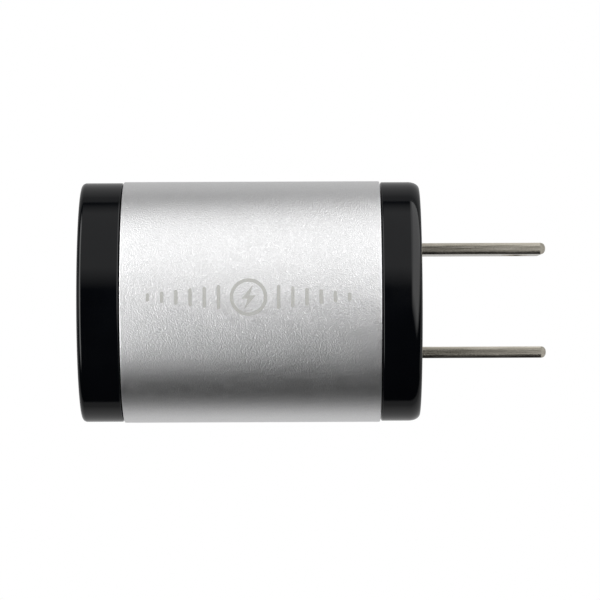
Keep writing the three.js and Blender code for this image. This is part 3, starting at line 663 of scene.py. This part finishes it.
def make_rear_cap(material):
    """The rear cap with the insulating tube that is moulded with it."""
    outline = cap_outline(REAR_HIGH.x, REAR_SEAM, REAR_FILLET)
    outline += [(REAR_SEAM, TUBE_INSET), (REAR_LOW.x, TUBE_INSET)]
    outline += [(REAR_LOW.x, ROOM_INSET), (-END_WALL, ROOM_INSET)]
    cap = loft("rear_end_cap", [ellipse(x, inset) for x, inset in outline])
    added = [lug(1, 0), lug(-1, 0)]
    slots = []
    for side in (-1, 1):
        boss, slot = blade_seat(side)
        added += [boss, *ledges(side)]
        slots.append(slot)
    combine(cap, added, "UNION")
    combine(cap, slots, "DIFFERENCE")
    shade(cap.data)
    weigh_normals(cap)
    finish_piece(cap, material, "rear_housing")


# ---------------------------------------------------------------- plug blades

BLADE_EDGE = mm(0.1)
BLADE_TIP = {"corner": mm(0.66), "nose": mm(0.6)}
BLADE_TAB = {"width": mm(3.0), "z": mm(-0.9), "shoulder": mm(-2.9)}
BLADE_HOLE = {"x": mm(11.9), "radius": mm(1.55), "flare": mm(0.15)}


def blade_section(x, y, thickness, width, z=0.0):
    """A ring of a blade, whose rounded edges shrink where the nose gets too thin for them."""
    nearly_half = 0.49
    corner = min(BLADE_EDGE, nearly_half * thickness)
    return rounded_rectangle(x, thickness, width, corner, steps=64, centre=(y, z))


def make_blade(name, node, material):
    """A flat blade with its soldering tab inside the cap, a rounded tip and a hole."""
    low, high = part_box(node)
    y = (low.y + high.y) / 2
    thickness = high.y - low.y
    width = high.z - low.z
    tip, nose = BLADE_TIP["corner"], BLADE_TIP["nose"]
    shoulder = BLADE_TAB["shoulder"]
    rings = [blade_section(x, y, thickness, BLADE_TAB["width"], BLADE_TAB["z"]) for x in (low.x, shoulder)]
    plain_part = [shoulder, mm(-0.5), *np.linspace(0, high.x - tip, 12)]
    rings += [blade_section(x, y, thickness, width) for x in plain_part]
    for step in np.sin(np.linspace(0.06, math.pi / 2, 12)):
        # The broad side's corners are cut back at an angle, and the nose is rounded from side to side.
        rounding = max(0.0, 1 - (1 - step) * tip / nose)
        narrowing = nose * (1 - math.sqrt(1 - rounding**2))
        x = high.x - tip * (1 - step)
        rings.append(blade_section(x, y, thickness - 2 * narrowing, width - 2 * tip * step))
    blade = loft(name, rings)
    hole = hole_cutter(Vector((BLADE_HOLE["x"], y, 0)), BLADE_HOLE["radius"], thickness, BLADE_HOLE["flare"])
    combine(blade, [hole], "DIFFERENCE")
    shade(blade.data)
    weigh_normals(blade)
    finish_piece(blade, material, node)


def hole_cutter(centre, radius, length, flare):
    """A round cutter along Y whose ends flare out, so that the hole it makes has broken edges."""
    steps = 48
    overshoot = mm(0.2)
    end, mouth = length / 2 + overshoot, radius + flare + overshoot
    waist = length / 2 - flare
    turn = np.linspace(0, 2 * math.pi, steps, endpoint=False)
    rings = []
    for along, reach in ((-end, mouth), (-waist, radius), (waist, radius), (end, mouth)):
        x = centre.x + reach * np.cos(turn)
        z = centre.z + reach * np.sin(turn)
        rings.append(np.stack([x, np.full(steps, centre.y + along), z], axis=1))
    return loft("hole", rings)


# ---------------------------------------------------------------- port shell

SHELL_CORNER = mm(0.65)
SHELL_LIP = mm(0.08)
SHELL_BACK_EDGE = mm(0.1)
SPRING = {"front": mm(2.2), "length": mm(5.0), "width": mm(2.2), "slit": mm(0.35), "y": mm(3.2)}
# The spring's bow: how deep its crest is, how far along the crest lies, and how much its end turns back.
SPRING_BOW = {"crest": mm(0.36), "crest_at": 0.78, "return": mm(0.2), "root_overlap": mm(0.4)}
LEG = {"x": (mm(-36.4), mm(-31.6)), "width": mm(1.3), "overlap": mm(0.8)}
TAIL_WAY = {"length": mm(3.0), "half_width": mm(5.4), "top": mm(-2.36)}


def strip(name, spine, middle_y, width, thickness):
    """A closed strip of sheet along a spine of (x, z) points."""
    spine = np.array(spine)
    along = np.gradient(spine, axis=0)
    across = np.stack([-along[:, 1], along[:, 0]], axis=1)
    across /= np.linalg.norm(across, axis=1)[:, None]
    rings = []
    for point, normal in zip(spine, across):
        a, b = point + normal * thickness / 2, point - normal * thickness / 2
        y0, y1 = middle_y - width / 2, middle_y + width / 2
        rings.append(np.array([(a[0], y0, a[1]), (a[0], y1, a[1]), (b[0], y1, b[1]), (b[0], y0, b[1])]))
    return loft(name, rings)


def shell_spring(y, side):
    """A retaining spring, cut free on three sides and bowed inwards to its crest near the free end."""
    root = SHELL_LOW.x + SPRING["front"] + SPRING["length"]
    middle = SHELL_HALF_Z - SHEET / 2
    crest_at = SPRING_BOW["crest_at"]
    free_length = SPRING["length"] - SPRING["slit"]
    spine = [(root + SPRING_BOW["root_overlap"], side * middle)]
    for step in np.linspace(0, 1, 17):
        bow = SPRING_BOW["crest"] * (0.5 - 0.5 * math.cos(math.pi * min(1.0, step / crest_at)))
        lift = SPRING_BOW["return"] * max(0.0, (step - crest_at) / (1 - crest_at)) ** 2
        spine.append((root - free_length * step, side * (middle - bow + lift)))
    return strip("spring", spine, y, SPRING["width"], SHEET * 0.9)


def spring_slit(y, side):
    """The cutter that opens the shell's broad side round a retaining spring."""
    half = SPRING["width"] / 2 + SPRING["slit"]
    start = SHELL_LOW.x + SPRING["front"]
    half_depth = mm(0.5)
    z = sorted((side * (SHELL_HALF_Z - half_depth), side * (SHELL_HALF_Z + half_depth)))
    return box_mesh("slit", (start, y - half, z[0]), (start + SPRING["length"], y + half, z[1]))


def tail_way():
    """The cutter of the opening at the shell's back that the contacts' tails pass through."""
    back = SHELL_HIGH.x
    low = (back - TAIL_WAY["length"], -TAIL_WAY["half_width"], -SHELL_HALF_Z - OVERSHOOT)
    return box_mesh("way", low, (back + OVERSHOOT, TAIL_WAY["half_width"], TAIL_WAY["top"]))


def mounting_leg(x, side):
    """A leg that runs down from the shell's narrow side, within its sheet, and through the board."""
    y = sorted((side * (SHELL_HALF_Y - SHEET * 0.95), side * SHELL_HALF_Y * 0.998))
    half = LEG["width"] / 2
    top = LEG["overlap"] - SHELL_HALF_Z
    return box_mesh("leg", (x - half, y[0], SHELL_LOW.z), (x + half, y[1], top))


def shell_ring(x, inset):
    """A ring of the shell's section, moved in from its outer surface by inset."""
    width, height = 2 * (SHELL_HALF_Y - inset), 2 * (SHELL_HALF_Z - inset)
    return rounded_rectangle(x, width, height, SHELL_CORNER - inset, steps=96)


def make_usb_shell(material):
    """The stamped shell of the port, with four retaining springs and four mounting legs."""
    front, back = SHELL_LOW.x, SHELL_HIGH.x
    sides = (-1, 1)
    outline = [(back, SHELL_BACK_EDGE), (back - SHELL_BACK_EDGE, 0)]
    outline += [(front + SHELL_LIP, 0), (front, SHELL_LIP), (front, SHEET - SHELL_LIP)]
    outline += [(front + SHELL_LIP, SHEET), (back - SHEET, SHEET)]
    shell = loft("port_shell", [shell_ring(x, inset) for x, inset in outline])
    spring_places = [(y, side) for y in (-SPRING["y"], SPRING["y"]) for side in sides]
    openings = [spring_slit(y, side) for y, side in spring_places] + [tail_way()]
    springs = [shell_spring(y, side) for y, side in spring_places]
    legs = [mounting_leg(x, side) for x in LEG["x"] for side in sides]
    combine(shell, openings, "DIFFERENCE")
    combine(shell, springs + legs, "UNION")
    shade(shell.data)
    weigh_normals(shell)
    finish_piece(shell, material, "usb_shell")


# ---------------------------------------------------------------- pieces that keep their CAD shape

def soften(node):
    """Rounds the edges of a CAD shape, once its flat triangles are merged."""
    node.data.shade_smooth()
    merge = node.modifiers.new("merge", "DECIMATE")
    merge.decimate_type = "DISSOLVE"
    merge.angle_limit = math.radians(1)
    bevel = node.modifiers.new("edges", "BEVEL")
    bevel.width = mm(0.05)
    bevel.segments = 2
    bevel.limit_method = "ANGLE"
    bevel.angle_limit = SHARP_ANGLE
    weigh_normals(node)


def finish_cad_nodes(finishes):
    """Gives every CAD node that is still shown the material of its slot."""
    slots = {part["node"]: part["material_slot"] for part in frame["record"]["subparts"]}
    for name, node in frame["nodes"].items():
        if node.hide_render:
            continue
        node.data.materials.clear()
        node.data.materials.append(finishes[slots[name]])
        soften(node)


# ---------------------------------------------------------------- camera, lights and floor

CAMERA_PLACE = (mm(-15.06), mm(-7.08), mm(300))
CAMERA_TURNS = (("Z", 0.0039), ("Y", 0.0011), ("X", -0.0243))  # small leans away from straight down
LIGHTS_AIM = Vector((mm(-20), 0, 0))
LIGHT_DISTANCE = 0.8
# What the floor and the room send to the object. Both are white to the camera.
FLOOR_NEAR_FRONT = 0.62
FLOOR_NEAR_BACK = 0.54
FLOOR_FAR = 0.27
NEAR_REACH = mm(20)
FAR_REACH = mm(100)
ROOM_GLOW = 0.01
EDGE_FADE = 0.22  # the part of a soft box's width and height, at each edge, over which it fades


def make_camera():
    """A long lens almost straight above the charger."""
    data = bpy.data.cameras.new("camera")
    data.lens = 145.45
    data.sensor_width = 36
    data.clip_start = 0.01
    data.clip_end = 20
    camera = new_object("camera", data)
    tilt = Matrix.Identity(3)
    for axis, angle in CAMERA_TURNS:
        tilt = tilt @ Matrix.Rotation(angle, 3, axis)
    camera.matrix_world = Matrix.Translation(CAMERA_PLACE) @ tilt.transposed().to_4x4()
    bpy.context.scene.camera = camera


def soft_box(name, across, along, width, height, strength):
    """A rectangular light that shows in reflections but not to the camera. Strength is its radiance.

    It faces the charger's middle. Its place is turned from straight up towards +Y by across, and from there
    towards +X by along, in degrees. Its width lies along X.
    """
    across, along = math.radians(across), math.radians(along)
    level = math.cos(along)
    back = Vector((math.sin(along), level * math.sin(across), level * math.cos(across)))
    side = (Vector((1, 0, 0)) - back * back.x).normalized()
    data = bpy.data.lights.new(name, "AREA")
    data.shape = "RECTANGLE"
    data.size = width
    data.size_y = height
    data.energy = strength * math.pi * width * height
    fade_edges(data)
    light = new_object(name, data)
    turn = Matrix((side, back.cross(side), back)).transposed()
    light.matrix_world = Matrix.Translation(LIGHTS_AIM + back * LIGHT_DISTANCE) @ turn.to_4x4()
    light.visible_camera = False


def fade_edges(data):
    """Makes a light's brightness fall off towards its edges, as a real soft box's does."""
    data.use_nodes = True
    tree = data.node_tree
    place = tree.nodes.new("ShaderNodeSeparateXYZ")
    tree.links.new(tree.nodes.new("ShaderNodeNewGeometry").outputs["Parametric"], place.inputs["Vector"])
    level = None
    for axis in ("X", "Y"):
        rest = tree.nodes.new("ShaderNodeMath")
        rest.operation = "SUBTRACT"
        rest.inputs[0].default_value = 1.0
        tree.links.new(place.outputs[axis], rest.inputs[1])
        nearest = tree.nodes.new("ShaderNodeMath")
        nearest.operation = "MINIMUM"
        tree.links.new(place.outputs[axis], nearest.inputs[0])
        tree.links.new(rest.outputs[0], nearest.inputs[1])
        level = mapped(tree, nearest.outputs[0], 0, EDGE_FADE, 0, 1 if level is None else level)
    tree.links.new(level, tree.nodes["Emission"].inputs["Strength"])


def glow(tree, level, shader, output):
    """White to the camera, and a grey of the given level in the light that it sends to the object."""
    path = tree.nodes.new("ShaderNodeLightPath")
    mix = tree.nodes.new("ShaderNodeMix")
    mix.inputs["B"].default_value = 1.0
    tree.links.new(path.outputs["Is Camera Ray"], mix.inputs["Factor"])
    tree.links.new(level, mix.inputs["A"])
    source = tree.nodes.new(shader)
    tree.links.new(mix.outputs["Result"], source.inputs["Strength"])
    tree.links.new(source.outputs[0], output.inputs["Surface"])


def mapped(tree, value, from_low, from_high, to_low, to_high):
    """A ramp between two levels, held level beyond its ends. The upper level may be a node's output."""
    node = tree.nodes.new("ShaderNodeMapRange")
    node.inputs["From Min"].default_value = from_low
    node.inputs["From Max"].default_value = from_high
    node.inputs["To Min"].default_value = to_low
    if isinstance(to_high, bpy.types.NodeSocket):
        tree.links.new(to_high, node.inputs["To Max"])
    else:
        node.inputs["To Max"].default_value = to_high
    tree.links.new(value, node.inputs["Value"])
    return node.outputs["Result"]


def floor_level(tree):
    """How bright the floor is to the object: most beside it on the -Y side, and dim far away."""
    place = tree.nodes.new("ShaderNodeSeparateXYZ")
    tree.links.new(tree.nodes.new("ShaderNodeTexCoord").outputs["Object"], place.inputs["Vector"])
    distance = tree.nodes.new("ShaderNodeMath")
    distance.operation = "ABSOLUTE"
    tree.links.new(place.outputs["Y"], distance.inputs[0])
    near = mapped(tree, place.outputs["Y"], -NEAR_REACH, NEAR_REACH, FLOOR_NEAR_FRONT, FLOOR_NEAR_BACK)
    nearness = mapped(tree, distance.outputs[0], NEAR_REACH, FAR_REACH, 1, 0)
    mix = tree.nodes.new("ShaderNodeMix")
    mix.inputs["A"].default_value = FLOOR_FAR
    tree.links.new(near, mix.inputs["B"])
    tree.links.new(nearness, mix.inputs["Factor"])
    return mix.outputs["Result"]


def make_backdrop():
    """A wide pale floor just under the charger, and an almost dark room round it."""
    reach = 4.0
    level = SLEEVE_LOW.z - mm(0.02)
    corners = [(x * reach, y * reach, level) for x, y in ((-1, -1), (1, -1), (1, 1), (-1, 1))]
    floor = mesh_object("floor", corners, [(0, 1, 2, 3)])
    material = bpy.data.materials.new("pale_floor")
    material.use_nodes = True
    tree = material.node_tree
    tree.nodes.clear()
    output = tree.nodes.new("ShaderNodeOutputMaterial")
    glow(tree, floor_level(tree), "ShaderNodeEmission", output)
    floor.data.materials.append(material)

    world = bpy.data.worlds.new("studio")
    bpy.context.scene.world = world
    world.use_nodes = True
    tree = world.node_tree
    tree.nodes.clear()
    room = tree.nodes.new("ShaderNodeValue")
    room.outputs[0].default_value = ROOM_GLOW
    glow(tree, room.outputs[0], "ShaderNodeBackground", tree.nodes.new("ShaderNodeOutputWorld"))


def make_lights():
    """Two large soft boxes, a faint one low at each end, and a faint one behind."""
    soft_box("left_light", across=13, along=-35, width=0.6, height=2.5, strength=2.95)
    soft_box("right_light", across=50, along=41, width=1.14, height=2.6, strength=1.85)
    soft_box("low_left_light", across=0, along=-84, width=0.16, height=1.2, strength=0.5)
    soft_box("low_right_light", across=0, along=84, width=0.16, height=1.2, strength=0.8)
    soft_box("back_light", across=48, along=0, width=0.46, height=1.3, strength=0.55)


# ---------------------------------------------------------------- the whole charger

make_camera()
make_lights()
make_backdrop()
bpy.context.scene.view_settings.view_transform = "Standard"

black = gloss_black()
plate = nickel()
make_sleeve()
make_mark()
make_front_cap(black)
make_rear_cap(black)
make_blade("plug_blade_line", "blade_line", plate)
make_blade("plug_blade_neutral", "blade_neutral", plate)
make_usb_shell(tinned_steel())
finish_cad_nodes(inside_finishes())
